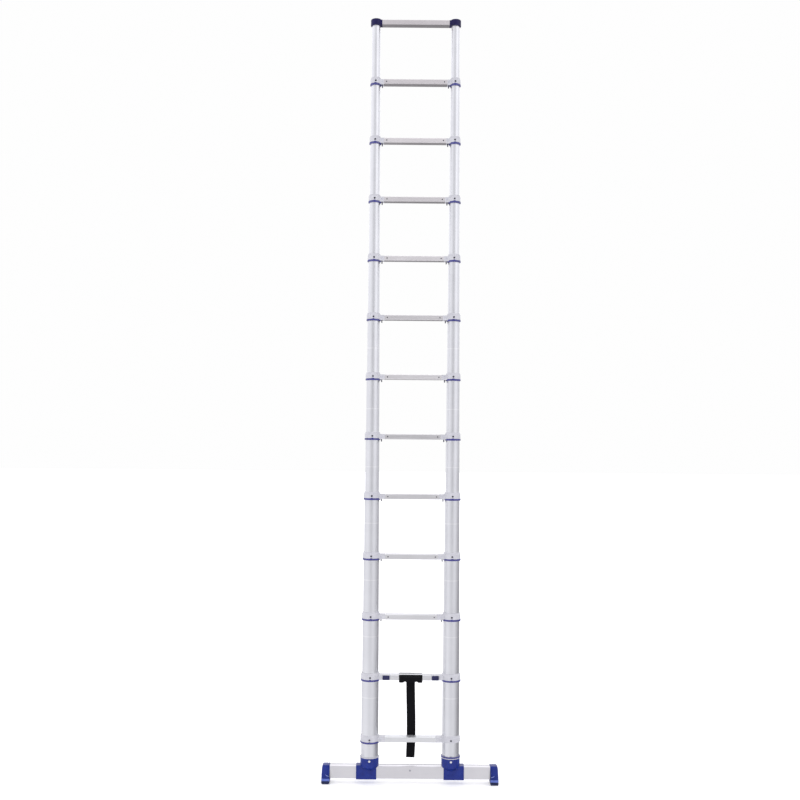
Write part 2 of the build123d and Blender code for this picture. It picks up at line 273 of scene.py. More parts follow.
def room_mix(height, start, end, below, above):
    """Change from one band to another between two heights of view."""
    step = nodes.new("ShaderNodeMapRange")
    step.interpolation_type = "SMOOTHSTEP"
    step.inputs["From Min"].default_value = start
    step.inputs["From Max"].default_value = end
    links.new(height, step.inputs["Value"])
    mix = nodes.new("ShaderNodeMix")
    mix.data_type = "RGBA"
    links.new(step.outputs["Result"], mix.inputs["Factor"])
    colours = [socket for socket in mix.inputs if socket.type == "RGBA"]
    links.new(below, colours[0])
    links.new(above, colours[1])
    return [socket for socket in mix.outputs if socket.type == "RGBA"][0]


print("World nodes so far:", len(nodes))

# %% [markdown]
# ### Set the three bands
# Each list gives a direction in degrees and the brightness there. The ladder is lit by this room and mirrors
# it. The camera itself sees an even white backdrop instead.

# %% Draw the room
look = nodes.new("ShaderNodeSeparateXYZ")
links.new(nodes.new("ShaderNodeTexCoord").outputs["Generated"], look.inputs["Vector"])
toward_camera = room_math("MULTIPLY", look.outputs["Y"], -1.0)
angle = room_math("ARCTAN2", look.outputs["X"], toward_camera)
turn = room_math("ADD", room_math("MULTIPLY", angle, 0.5 / pi), 0.5)
HIGH = [(-180, 1.30), (-110, 1.12), (-55, 1.04), (-14, 0.80), (6, 0.84), (44, 1.36), (95, 1.0), (180, 1.30)]
LEVEL = [(-180, 0.95), (-100, 0.92), (-62, 0.99), (-30, 0.62), (0, 0.12), (28, 0.80), (54, 1.10), (110, 0.72)]
LOW = [(-180, 0.34), (-120, 0.90), (-50, 0.95), (0, 0.88), (34, 0.84), (60, 0.58), (96, 0.30), (165, 0.28)]
low_and_level = room_mix(look.outputs["Z"], -0.11, -0.04, room_band(turn, LOW), room_band(turn, LEVEL))
room_light = room_mix(look.outputs["Z"], 0.06, 0.15, low_and_level, room_band(turn, HIGH))
room = nodes["Background"]
links.new(room_light, room.inputs["Color"])
backdrop = nodes.new("ShaderNodeBackground")
backdrop.inputs["Color"].default_value = (0.99, 0.99, 0.99, 1)
choose = nodes.new("ShaderNodeMixShader")
links.new(nodes.new("ShaderNodeLightPath").outputs["Is Camera Ray"], choose.inputs["Fac"])
links.new(room.outputs["Background"], choose.inputs[1])
links.new(backdrop.outputs["Background"], choose.inputs[2])
links.new(choose.outputs["Shader"], nodes["World Output"].inputs["Surface"])
print("Bands of light:", len((LOW, LEVEL, HIGH)), "in", len(nodes), "nodes")

# %% [markdown]
# ### One soft lamp
# A large soft lamp high on the left gives the plastic its gentle highlights. The metal doesn't mirror it.
# Colours are shown as they are, with no film look, so that white stays white.

# %% Place the lamp
lamp_data = bpy.data.lights.new("key_left", "AREA")
lamp_data.shape = "RECTANGLE"
lamp_data.size, lamp_data.size_y = 1.6, 2.4
lamp_data.energy = 26
lamp = bpy.data.objects.new("key_left", lamp_data)
lamp.location = (-2.6, -3.0, 3.2)
lamp.rotation_euler = (Vector((0, 0, 1.2)) - lamp.location).to_track_quat("-Z", "Y").to_euler()
lamp.visible_glossy = False
bpy.context.scene.collection.objects.link(lamp)
bpy.context.scene.view_settings.view_transform = "Standard"
print("Lamps:", len(bpy.data.lights), "of", lamp_data.energy, "watts")

# %% [markdown]
# ## Anodised aluminium
# The rails, rungs and bar are extruded, so their finest marks run along their length. Anodising leaves a
# satin skin: the metal's colour is pale and even, and its roughness wanders a little from place to place.
# Rungs come from different anodising batches, so each has a slightly different tone, and the upper ones are
# warmer.
#
# Seven pairs of tubes also show a narrow bright ring partway up, 5 mm tall, as a bush leaves where it presses
# against the wall. The bar has the opposite: a dark strip along the rear of its top, which is painted shade.

# %% Make the aluminium finishes


def anodised(name, dark, light, stretch, roughness):
    """Extruded, satin-anodised aluminium. The stretch is small along the extrusion."""
    material, tree, shader, place = node_material(name, roughness[0], metallic=1.0)
    draw_lines = noise(tree, place, 60.0, stretch, detail=6.0)
    clouds = noise(tree, place, 9.0)
    colour = blend_colours(tree, spread(tree, clouds, 0.0, 1.0), dark, light)
    tree.links.new(colour, shader.inputs["Base Color"])
    tree.links.new(spread(tree, draw_lines, *roughness), shader.inputs["Roughness"])
    bump(tree, shader, draw_lines, 0.05 * MM, 0.35)
    return material


ALONG_Z = (8, 8, 0.12)
ALONG_X = (0.12, 8, 8)
RING_BELOW_RUNG = {2: 96, 3: 94, 4: 114, 5: 131, 6: 149, 7: 158, 8: 153}


def add_band(material, axis, centre, half_width, tint, strength):
    """Tint a metal in a band across one of its axes, X, Y or Z."""
    tree = material.node_tree
    shader = tree.nodes["Principled BSDF"]
    colour = shader.inputs["Base Color"].links[0].from_socket
    split = tree.nodes.new("ShaderNodeSeparateXYZ")
    tree.links.new(tree.nodes["Texture Coordinate"].outputs["Object"], split.inputs["Vector"])
    inside = tree.nodes.new("ShaderNodeMath")
    inside.operation = "COMPARE"
    inside.inputs[1].default_value = centre
    inside.inputs[2].default_value = half_width
    tree.links.new(split.outputs[axis], inside.inputs[0])
    faint = tree.nodes.new("ShaderNodeMath")
    faint.operation = "MULTIPLY"
    faint.inputs[1].default_value = strength
    tree.links.new(inside.outputs["Value"], faint.inputs[0])
    tree.links.new(blend_colours(tree, faint.outputs["Value"], colour, tint), shader.inputs["Base Color"])


RUNG_TONE = [1.06, 1.0, 1.04, 1.02, 1.0, 0.93, 1.10, 1.02, 1.12, 1.0, 1.08, 0.96, 0.90]
rung_metal = {}
for rung, tone in zip(RUNGS, RUNG_TONE):
    warm = 0.95 + 0.005 * (13 - rung)
    dark = (0.78 * tone, 0.78 * tone * warm, 0.79 * tone * warm)
    light = tuple(min(0.97, level + 0.05) for level in dark)
    rung_metal[rung] = anodised(f"rung_metal_{rung:02d}", dark, light, ALONG_X, (0.30, 0.46))

rail_metal = {}
for rung in range(2, 14):
    rail_metal[rails_of(rung)] = anodised(
        f"rail_metal_{rung:02d}", (0.79, 0.797, 0.822), (0.85, 0.857, 0.882), ALONG_Z, (0.30, 0.42)
    )
    if rung in RING_BELOW_RUNG:
        ring_z = rung_z[rung] - RING_BELOW_RUNG[rung] * MM
        add_band(rail_metal[rails_of(rung)], "Z", ring_z, 2.5 * MM, (0.97, 0.97, 0.98), 0.6)
bar_metal = anodised("bar_metal", (0.78, 0.77, 0.79), (0.83, 0.82, 0.84), ALONG_X, (0.38, 0.52))
# A dark band along the rear of the bar's top is painted shade.
add_band(bar_metal, "Y", 14 * MM, 5.3 * MM, (0.10, 0.10, 0.12), 0.9)
print("Aluminium finishes:", len(rung_metal) + len(rail_metal) + 1)

# %% [markdown]
# ## Moulded plastics, rubber and plated steel
# Moulded parts have a fine sand-like grain and a faint mottling where the plastic flowed. One maker of
# finishes serves them all, with a few small sums written as nodes for the next step.

# %% Write the moulding tools
GRAIN_SCALE = 900.0


def grained(name, dark, light, roughness, grain=GRAIN_SCALE, depth=0.03 * MM, shine=0.25):
    """Moulded plastic or rubber with a fine grain."""
    material, tree, shader, place = node_material(name, roughness)
    shader.inputs["Specular IOR Level"].default_value = shine
    mottle = spread(tree, noise(tree, place, 35.0), 0.0, 1.0)
    tree.links.new(blend_colours(tree, mottle, dark, light), shader.inputs["Base Color"])
    fine = noise(tree, place, grain, detail=2.0)
    tree.links.new(spread(tree, fine, roughness - 0.05, roughness + 0.08), shader.inputs["Roughness"])
    bump(tree, shader, fine, depth, 0.5)
    return material


def sums(tree, operation, *values):
    """One arithmetic node of a finish. A value may be a socket or a plain number."""
    node = tree.nodes.new("ShaderNodeMath")
    node.operation = operation
    for socket, value in zip(node.inputs, values):
        if isinstance(value, bpy.types.NodeSocket):
            tree.links.new(value, socket)
        else:
            socket.default_value = value
    return node.outputs["Value"]


print("The grain repeats about every", round(1 / GRAIN_SCALE / MM, 1), "mm")

# %% [markdown]
# ### Collars with their rings
# The collars are pale grey, and each has a dark blue ring below it with a small peak at its front. One
# material serves both: it measures the distance from the rail's axis and the height, and turns blue where the
# ring is.

# %% Write the collar finish
RING_DROP = 8.05 * MM
PEAK_DROP = 2.0 * MM


def two_tone(name, rung):
    """Pale collar plastic, and blue plastic where the ring and its front peak are."""
    material, tree, shader, place = node_material(name, 0.24)
    shader.inputs["Specular IOR Level"].default_value = 0.85
    split = tree.nodes.new("ShaderNodeSeparateXYZ")
    tree.links.new(place, split.inputs["Vector"])
    across = sums(tree, "SUBTRACT", sums(tree, "ABSOLUTE", split.outputs["X"]), rail_x)
    across_squared = sums(tree, "POWER", across, 2.0)
    along_squared = sums(tree, "POWER", split.outputs["Y"], 2.0)
    from_axis = sums(tree, "SQRT", sums(tree, "ADD", across_squared, along_squared))
    collar = rail_radius[rung] + COLLAR_WALL
    below = sums(tree, "LESS_THAN", split.outputs["Z"], rung_z[rung] - RING_DROP)
    ring = sums(tree, "MULTIPLY", below, sums(tree, "LESS_THAN", from_axis, collar + 1.3 * MM))
    outside = sums(tree, "GREATER_THAN", from_axis, collar + 0.1 * MM)
    low = sums(tree, "LESS_THAN", split.outputs["Z"], rung_z[rung] - PEAK_DROP)
    front = sums(tree, "LESS_THAN", split.outputs["Y"], -0.9 * collar)
    peak = sums(tree, "MULTIPLY", outside, sums(tree, "MULTIPLY", low, front))
    mottle = spread(tree, noise(tree, place, 30.0), 0.0, 1.0)
    pale = blend_colours(tree, mottle, (0.49, 0.49, 0.53), (0.56, 0.56, 0.595))
    blue = blend_colours(tree, mottle, (0.026, 0.026, 0.16), (0.040, 0.040, 0.22))
    is_blue = sums(tree, "MAXIMUM", ring, peak)
    tree.links.new(blend_colours(tree, is_blue, pale, blue), shader.inputs["Base Color"])
    bump(tree, shader, noise(tree, place, GRAIN_SCALE, detail=2.0), 0.02 * MM, 0.4)
    return material


print("The lowest collar turns blue below", round(rung_z[1] - RING_DROP, 4), "m")

# %% [markdown]
# ### The other finishes
# The top caps are nearly black-blue, the brackets and end caps a strong blue, and the soles dull. The small
# screws and rivets are dark steel, and the bracket bolts are bright zinc.

# %% Make the plastic, rubber and steel finishes
cap_plastic = grained("cap_plastic", (0.006, 0.004, 0.045), (0.011, 0.008, 0.068), 0.36)
blue_plastic = grained("blue_plastic", (0.003, 0.014, 0.165), (0.007, 0.025, 0.230), 0.30, shine=0.35)
button_plastic = grained("button_plastic", (0.020, 0.021, 0.072), (0.034, 0.035, 0.110), 0.34)
latch_plastic = grained("latch_plastic", (0.035, 0.035, 0.060), (0.055, 0.055, 0.090), 0.45)
sole_rubber = grained("sole_rubber", (0.012, 0.016, 0.060), (0.024, 0.030, 0.095), 0.55, grain=500.0)
# Paler blue for the roll below the end caps' waist is painted light.
lit_roll_blue = grained("lit_roll_blue", (0.085, 0.130, 0.42), (0.135, 0.185, 0.54), 0.45)
# Paler blue for the end caps' ribs is a painted highlight.
rib_highlight_blue = grained("rib_highlight_blue", (0.24, 0.30, 0.66), (0.34, 0.40, 0.78), 0.40)
bright_zinc = anodised("bright_zinc", (0.86, 0.86, 0.88), (0.94, 0.94, 0.95), (1, 1, 1), (0.22, 0.34))
plated_steel = anodised("plated_steel", (0.42, 0.42, 0.46), (0.60, 0.60, 0.63), (1, 1, 1), (0.25, 0.40))
dark_steel = anodised("dark_steel", (0.055, 0.055, 0.075), (0.12, 0.12, 0.14), (1, 1, 1), (0.30, 0.50))
print("Materials so far:", len(bpy.data.materials))

# %% [markdown]
# ## Woven black webbing
# Carrying straps are polypropylene webbing: round yarns that pass over and under each other. Two crossed sets
# of ridges, one along the strap and one across it, give that woven relief.

# %% Make the webbing finish


def ridges(tree, place, axis, pitch):
    """Parallel ridges with a real pitch, running across one axis."""
    wave = tree.nodes.new("ShaderNodeTexWave")
    wave.bands_direction = axis
    wave.inputs["Scale"].default_value = 0.314 / pitch
    wave.inputs["Distortion"].default_value = 0.6
    wave.inputs["Detail Scale"].default_value = 40.0
    tree.links.new(place, wave.inputs["Vector"])
    return wave.outputs["Fac"]


YARN_WIDTH = 2.4 * MM
YARN_LENGTH = 1.6 * MM


def webbing(name, dark, light):
    """Black woven webbing with yarns along Z and across X."""
    material, tree, shader, place = node_material(name, 0.8)
    weave = tree.nodes.new("ShaderNodeMath")
    weave.operation = "MULTIPLY"
    tree.links.new(ridges(tree, place, "X", YARN_WIDTH), weave.inputs[0])
    tree.links.new(ridges(tree, place, "Z", YARN_LENGTH), weave.inputs[1])
    tree.links.new(blend_colours(tree, weave.outputs["Value"], dark, light), shader.inputs["Base Color"])
    shader.inputs["Specular IOR Level"].default_value = 0.08
    shader.inputs["Sheen Weight"].default_value = 0.02
    shader.inputs["Sheen Roughness"].default_value = 0.4
    bump(tree, shader, weave.outputs["Value"], 0.4 * MM, 0.8)
    return material


strap_webbing = webbing("strap_webbing", (0.003, 0.003, 0.004), (0.014, 0.014, 0.017))
thread = grained("thread", (0.03, 0.03, 0.035), (0.07, 0.07, 0.075), 0.7)
print("The weave repeats every", YARN_WIDTH / MM, "mm across and", YARN_LENGTH / MM, "mm along")

# %% [markdown]
# ## Dress the parts that already have their shape
# The tubes, rungs, collars, brackets, buttons and latches keep their engineered shape and only take a finish.

# %% Assign finishes to the frame's parts


def dress(node, material):
    """Give one of the frame's parts a finish."""
    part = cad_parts[node]
    if not part.material_slots:
        part.data.materials.append(material)
    for slot in part.material_slots:
        slot.material = material


for rung in RUNGS:
    dress(f"rung_{rung:02d}", rung_metal[rung])
    dress(rails_of(rung), rail_metal[rails_of(rung)])
    if rung < 13:
        dress(f"collars_{rung:02d}", two_tone(f"collar_plastic_{rung:02d}", rung))
    if 2 < rung < 13:
        dress(f"latches_{rung:02d}", latch_plastic)
dress("stabiliser_bar", bar_metal)
dress("top_caps", cap_plastic)
for side in ("left", "right"):
    dress(f"bracket_{side}", blue_plastic)
    dress(f"release_button_{side}", button_plastic)
    dress(f"lock_pin_{side}", plated_steel)
dress("bracket_bolts", bright_zinc)
print("Parts dressed:", len(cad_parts))

# %% [markdown]
# ## Small turned hardware
# A screw head, a rivet and a moulded plug are all turned shapes: half an outline spun about its own axis. The
# outline is drawn once in the plane of that axis, and spinning it makes the whole head.

# %% Write the turning tools
TURN_STEPS = 24


def spin_profile(mesh, outline, steps=TURN_STEPS):
    """Spin (radius, height) points about Z inside a bmesh and return the new vertices."""
    before = set(mesh.verts)
    corners = [mesh.verts.new((radius, 0, height)) for radius, height in outline]
    edges = [mesh.edges.new(pair) for pair in zip(corners, corners[1:])]
    bmesh.ops.spin(
        mesh,
        geom=corners + edges,
        cent=(0, 0, 0),
        axis=(0, 0, 1),
        angle=2 * pi,
        steps=steps,
        use_merge=True,
        use_duplicate=False,
    )
    made = [v for v in mesh.verts if v not in before]
    bmesh.ops.remove_doubles(mesh, verts=made, dist=1e-6)
    return [v for v in mesh.verts if v not in before]


def facing_front(x, y, z):
    """Carry a shape that stands on Z so that it stands on a surface facing -Y."""
    return Matrix.Translation((x, y, z)) @ Matrix.Rotation(pi / 2, 4, "X")


def facing_back(x, y, z):
    """The same for a surface facing +Y."""
    return Matrix.Translation((x, y, z)) @ Matrix.Rotation(-pi / 2, 4, "X")


def place_turned(mesh, outline, placement, steps=TURN_STEPS):
    """Spin an outline and move it to its place."""
    made = spin_profile(mesh, outline, steps)
    bmesh.ops.transform(mesh, matrix=placement, verts=made)


def add_piece(mesh, name, body, material):
    """Finish a bmesh as a piece that rides on one of the ladder's bodies."""
    bmesh.ops.recalc_face_normals(mesh, faces=mesh.faces)
    piece = link_mesh(mesh, name, material)
    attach(piece, body)
    return piece


print("A turned head has", TURN_STEPS, "steps")

# %% [markdown]
# ### Outlines of the heads
# Each outline is a list of radius and height. The screw has a sunk socket, the rivet a shallow dome, and the
# plug a raised rim.

# %% Draw the heads
SCREW_HEAD = [
    (0, 0.9 * MM), (1.4 * MM, 0.9 * MM), (1.8 * MM, 2.1 * MM), (3.0 * MM, 2.0 * MM),
    (4.2 * MM, 1.3 * MM), (4.6 * MM, 0.4 * MM), (4.6 * MM, -1.2 * MM), (0, -1.2 * MM),
]
RIVET_HEAD = [
    (0, 0.3 * MM), (0.9 * MM, 0.3 * MM), (1.1 * MM, 1.0 * MM), (2.2 * MM, 0.8 * MM),
    (3.1 * MM, 0.3 * MM), (3.2 * MM, -0.4 * MM), (0, -0.4 * MM),
]
ARM_PLUG = [
    (0, 0.5 * MM), (2.6 * MM, 0.5 * MM), (2.9 * MM, 0.1 * MM), (3.4 * MM, 0.1 * MM),
    (3.7 * MM, 0.6 * MM), (4.6 * MM, 0.5 * MM), (4.9 * MM, -0.4 * MM), (0, -0.4 * MM),
]
for label, outline in (("Screw head", SCREW_HEAD), ("Rivet head", RIVET_HEAD), ("Arm plug", ARM_PLUG)):
    print(label, "is", round(2 * max(radius for radius, height in outline) / MM, 1), "mm across")

# %% [markdown]
# ## Collar screws, rung rivets and arm plugs
# Each collar is held by one screw at its front. Each sliding rung but the top one is riveted to the arms that
# enter its ends, from both faces. A small moulded plug closes the hole over each latch, and the bottom rung's
# arms, which come from the same mould, have it too. All of one section's copies are one mesh.

# %% Place the hardware on every section
SCREW_RISE = 3.0 * MM
RIVET_INSET = 14.0 * MM
PLUG_REACH = 10.5 * MM
arm_plastic = grained("arm_plastic", (0.46, 0.46, 0.51), (0.54, 0.54, 0.58), 0.4)

for rung in range(1, 13):
    collar_face = -(rail_radius[rung] + COLLAR_WALL)
    screws = bmesh.new()
    for side in SIDES:
        place_turned(screws, SCREW_HEAD, facing_front(side * rail_x, collar_face, rung_z[rung] + SCREW_RISE))
    add_piece(screws, f"collar_screws_{rung:02d}", body_of(rung), dark_steel)

for rung in range(3, 13):
    x = rung_half_length[rung] - RIVET_INSET
    rivets = bmesh.new()
    for side in SIDES:
        place_turned(rivets, RIVET_HEAD, facing_front(side * x, -rung_half_depth, rung_z[rung]))
        place_turned(rivets, RIVET_HEAD, facing_back(side * x, rung_half_depth, rung_z[rung]))
    add_piece(rivets, f"rung_rivets_{rung:02d}", body_of(rung), dark_steel)

for rung in (1, *range(3, 13)):
    x = rail_x - rail_radius[rung] - PLUG_REACH
    plugs = bmesh.new()
    for side in SIDES:
        place_turned(plugs, ARM_PLUG, facing_front(side * x, -rung_half_depth, rung_z[rung]))
        place_turned(plugs, ARM_PLUG, facing_back(side * x, rung_half_depth, rung_z[rung]))
    add_piece(plugs, f"arm_plugs_{rung:02d}", body_of(rung), arm_plastic)

# %% [markdown]
# ## Outlines with rounded corners
# Straps, end caps and pads all begin as a flat outline. Real moulded and folded corners are never sharp, so
# one tool rounds every corner of an outline, open or closed, and always returns the same number of points for
# the same number of corners. That lets two outlines be bridged with faces later.

# %% Write the outline tools


def rounded(points, radius, closed=False, steps=4):
    """Round the corners of an outline. An open outline keeps its two ends."""
    points = [Vector(p) for p in points]
    result = []
    for i, corner in enumerate(points):
        if not closed and i in (0, len(points) - 1):
            result.append(corner)
            continue
        before = points[i - 1] - corner
        after = points[(i + 1) % len(points)] - corner
        start = corner + before.normalized() * min(radius, before.length * 0.45)
        end = corner + after.normalized() * min(radius, after.length * 0.45)
        for step in range(steps + 1):
            t = step / steps
            result.append(start * (1 - t) ** 2 + corner * 2 * t * (1 - t) + end * t**2)
    return result


def close_loop(mesh, places):
    """Add a closed loop of vertices and edges."""
    corners = [mesh.verts.new(place) for place in places]
    return [mesh.edges.new((a, b)) for a, b in zip(corners, corners[1:] + corners[:1])]


def skin_loops(mesh, loops):
    """Bridge a run of closed loops with faces, and cap both ends."""
    for first, second in zip(loops, loops[1:]):
        bmesh.ops.bridge_loops(mesh, edges=first + second)
    bmesh.ops.holes_fill(mesh, edges=loops[0] + loops[-1], sides=0)


square = [(-1, -1, 0), (1, -1, 0), (1, 1, 0), (-1, 1, 0)]
print("A square with rounded corners has", len(rounded(square, 0.2, closed=True)), "points")


# %% [markdown]
# ## Cloth as thin strips
# Webbing is a flat ribbon, so it is drawn as rows of points across its width and then given its thickness.
# The wrap's flap isn't cut straight: its lower edge has a rounded lobe at each end and two shallow notches.

# %% Write the cloth tools
LAYER = 1.35 * MM
WRAP_HALF = 57.5 * MM
NOTCH_DEPTH = 5.5 * MM
LOBE_DEPTH = 3.0 * MM


def strip_of_cloth(name, rows, thickness, material):
    """A flat strip from rows of points, given a real thickness and a soft edge."""
    mesh = bmesh.new()
    grid = [[mesh.verts.new(place) for place in row] for row in rows]
    for upper, lower in zip(grid, grid[1:]):
        for i in range(len(upper) - 1):
            mesh.faces.new((upper[i], upper[i + 1], lower[i + 1], lower[i]))
    bmesh.ops.recalc_face_normals(mesh, faces=mesh.faces)
    bmesh.ops.solidify(mesh, geom=mesh.faces[:], thickness=thickness)
    bmesh.ops.recalc_face_normals(mesh, faces=mesh.faces)
    piece = link_mesh(mesh, name, material)
    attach(piece, "base")
    return piece


def lobed_edge(x):
    """How far the flap's lower edge is cut up at a place across it."""
    along = abs(x) / WRAP_HALF
    notch = max(0.0, 1 - abs(along - 0.48) / 0.2)
    corner = max(0.0, (along - 0.9) / 0.1)
    return NOTCH_DEPTH * notch * notch * (3 - 2 * notch) + LOBE_DEPTH * corner * corner


print("The notch is cut", round(lobed_edge(0.48 * WRAP_HALF) / MM, 1), "mm deep")

# %% [markdown]
# ## The carrying strap's wrap
# A wide piece of webbing goes round the button rung. It starts just above the rung at the rear, where it sags
# towards one end, passes under the rung and comes up its front face onto the tread. There it folds back over
# itself and hangs down again as a flap.

# %% Make the wrap
FLAP_HANG = 10.5 * MM
REAR_RISE = 2.2 * MM
REAR_SAG = 1.5 * MM
FOLD_REACH = 3.5 * MM
FOLD_STEP = 1.5 * MM
button_rung_z = rung_z[2]
front, rear = -rung_half_depth, rung_half_depth
top, under = rung_half_height, -rung_half_height
gap = 0.75 * MM
wrap_path = [
    (rear + gap, top + REAR_RISE),
    (rear + gap, under - gap),
    (front - gap, under - gap),
    (front - gap, top + gap),
    (front + FOLD_REACH, top + gap),
    (front + FOLD_REACH, top + gap + FOLD_STEP),
    (front - gap - FOLD_STEP, top + gap + FOLD_STEP),
    (front - gap - FOLD_STEP, under),
    (front - gap - FOLD_STEP, under - FLAP_HANG),
]
across = [WRAP_HALF * (i / 24 - 1) for i in range(49)]
centre_line = rounded(wrap_path, 3.0 * MM)
rows = []
for y, z in centre_line:
    flap = max(0.0, (under - z) / FLAP_HANG) if y < front - gap - 1.0 * MM else 0.0
    sag = REAR_SAG if y > rear and z > top else 0.0
    rows.append([
        (x, y, button_rung_z + z + flap * lobed_edge(x) - sag * max(0.0, x / WRAP_HALF)) for x in across
    ])
wrap = strip_of_cloth("strap_wrap", rows, LAYER, strap_webbing)

# %% [markdown]
# ## The strap that hangs behind the rungs
# The strap is sewn to the wrap's rear flap and hangs straight down behind the bottom rung. Webbing that has
# been rolled up keeps a slight curl, so the strap drifts a little to the right on its way down, and below the
# bottom rung it turns by a few degrees. Its end is folded back on itself and sewn, so that it can't fray.

# %% Make the hanging strap
STRAP_HALF = 21.5 * MM
STRAP_END_Z = 115 * MM
strap_y = rear + gap + LAYER + 0.4 * MM
strap_top_z = button_rung_z + 9 * MM
free_from_z = rung_z[1] - rung_half_height - 6 * MM


def strap_row(z, thickness_offset=0.0):
    """One row of points across the strap at a height."""
    loose = max(0.0, (free_from_z - z) / (free_from_z - STRAP_END_Z))
    hanging = min(1.0, max(0.0, (button_rung_z - z) / 0.26))
    turn_angle = radians(16) * loose
    shift = 4.6 * MM * hanging * hanging * (3 - 2 * hanging) - 3.6 * MM * loose
    sway = 0.5 * MM * sin(14 * (z - STRAP_END_Z)) if z < button_rung_z - 30 * MM else 0.0
    row = []
    for i in range(15):
        x = STRAP_HALF * (i / 7 - 1)
        y = strap_y + thickness_offset + sway + x * sin(turn_angle)
        row.append((x * cos(turn_angle) + shift, y, z - 2.0 * MM * loose * (x / STRAP_HALF)))
    return row


levels = [STRAP_END_Z + 2 * MM + (strap_top_z - STRAP_END_Z - 2 * MM) * i / 90 for i in range(91)]
tail = strip_of_cloth("strap_tail", [strap_row(z) for z in levels], LAYER, strap_webbing)
hem_levels = [STRAP_END_Z + 2 * MM + i * 4 * MM for i in range(8)]
hem_rows = [strap_row(z, LAYER + 0.25 * MM) for z in hem_levels]
hem = strip_of_cloth("strap_hem", hem_rows, LAYER, strap_webbing)
print("The strap hangs", round((strap_top_z - STRAP_END_Z) / MM), "mm")

# %% [markdown]
# ## Sewing
# Thread is what shows that webbing is sewn and not moulded. Each stitch is a small bead of thread that sinks
# a little into the cloth. Two rows follow the flap's upper edge and one runs down each side of it. A crossed
# box holds the strap to the wrap, and two rows on each face close the hem.

# %% Sew the stitches


def sew(mesh, start, end, pitch=4.2 * MM):
    """A row of stitches between two points on the cloth."""
    start, end = Vector(start), Vector(end)
    count = max(1, round((end - start).length / pitch))
    direction = (end - start).normalized()
    turn_to = direction.to_track_quat("X", "Z").to_matrix().to_4x4()
    for i in range(count):
        middle_point = start.lerp(end, (i + 0.5) / count)
        size = Matrix.Diagonal((1.5 * MM, 0.42 * MM, 0.42 * MM, 1))
        bmesh.ops.create_icosphere(
            mesh, subdivisions=1, radius=1, matrix=Matrix.Translation(middle_point) @ turn_to @ size
        )


mesh = bmesh.new()
face_y = front - gap - FOLD_STEP - LAYER / 2 - 0.55 * MM
for rise in (8.5 * MM, 4.5 * MM):
    sew(mesh, (-54 * MM, face_y, button_rung_z + rise), (54 * MM, face_y, button_rung_z + rise))
for side in SIDES:
    x = side * 54 * MM
    sew(mesh, (x, face_y, button_rung_z + 4 * MM), (x, face_y, button_rung_z + under - 4 * MM))
back_y = strap_y + LAYER / 2 + 0.55 * MM
box_low, box_high = button_rung_z + under + 1 * MM, button_rung_z + 7 * MM
for z in (box_low, box_high):
    sew(mesh, (-18 * MM, back_y, z), (18 * MM, back_y, z))
for start_x, end_x in ((-18, -18), (18, 18), (-18, 18), (18, -18)):
    sew(mesh, (start_x * MM, back_y, box_low), (end_x * MM, back_y, box_high))
for z in (hem_levels[-1] - 3 * MM, hem_levels[-1] - 9 * MM):
    row = strap_row(z, LAYER + 0.25 * MM + LAYER / 2 + 0.4 * MM)
    sew(mesh, row[1], row[-2])
    row = strap_row(z, -LAYER / 2 - 0.4 * MM)
    sew(mesh, row[1], row[-2])
stitches = add_piece(mesh, "strap_stitches", "base", thread)
for piece in (wrap, tail, hem):
    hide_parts("carry_strap")
print("Stitches' faces:", len(stitches.data.polygons))

# %% [markdown]
# ## End caps of the stabiliser bar
# Each end of the bar is closed by a moulded cap with a sleeve that grips the bar. The cap widens below into a
# foot, so that the ladder can't tip forwards. It is made like a hull: outlines are drawn at several stations
# along the bar and bridged. First come the tools that draw one outline of the cap and one of its socket.

# %% Write the end caps' outlines
cap_low, cap_high = (Vector(corner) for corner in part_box("end_caps"))
bar_low, bar_high = (Vector(corner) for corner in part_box("stabiliser_bar"))
SLEEVE = 34 * MM
CAP_SKIN = 4 * MM
WAIST_Z = 31 * MM
END_SLANT = 5 * MM
cap_inner_x = bar_high.x - SLEEVE
cap_outer_x = cap_high.x


def cap_outline(inset):
    """The cap's outline seen from its end, pulled in by an inset."""
    half = bar_high.y + CAP_SKIN - inset
    sole = cap_high.y - inset
    low = cap_low.z + inset * 0.3
    corners = [
        (-half, cap_high.z - inset), (-half, WAIST_Z), (-sole, WAIST_Z - 5 * MM), (-sole, low),
        (sole, low), (sole, WAIST_Z - 5 * MM), (half, WAIST_Z), (half, cap_high.z - inset),
    ]
    return rounded(corners, 7 * MM, closed=True)


def socket_outline():
    """The socket that the bar enters, with as many corners as the cap's outline."""
    half, low, high = bar_high.y, bar_low.z, bar_high.z
    corners = [
        (-half, high), (-half, WAIST_Z + 8 * MM), (-half, low + 3 * MM), (-half + 3 * MM, low),
        (half - 3 * MM, low), (half, low + 3 * MM), (half, WAIST_Z + 8 * MM), (half, high),
    ]
    return rounded(corners, 1.5 * MM, closed=True)


def outer_x(z):
    """The cap's outer surface leans inwards towards its top in a soft curve."""
    rise = max(0.0, (z - 46 * MM) / (cap_high.z - 46 * MM))
    return cap_outer_x - END_SLANT * rise * rise


print("Points in the cap's and the socket's outlines:", len(cap_outline(0)), len(socket_outline()))
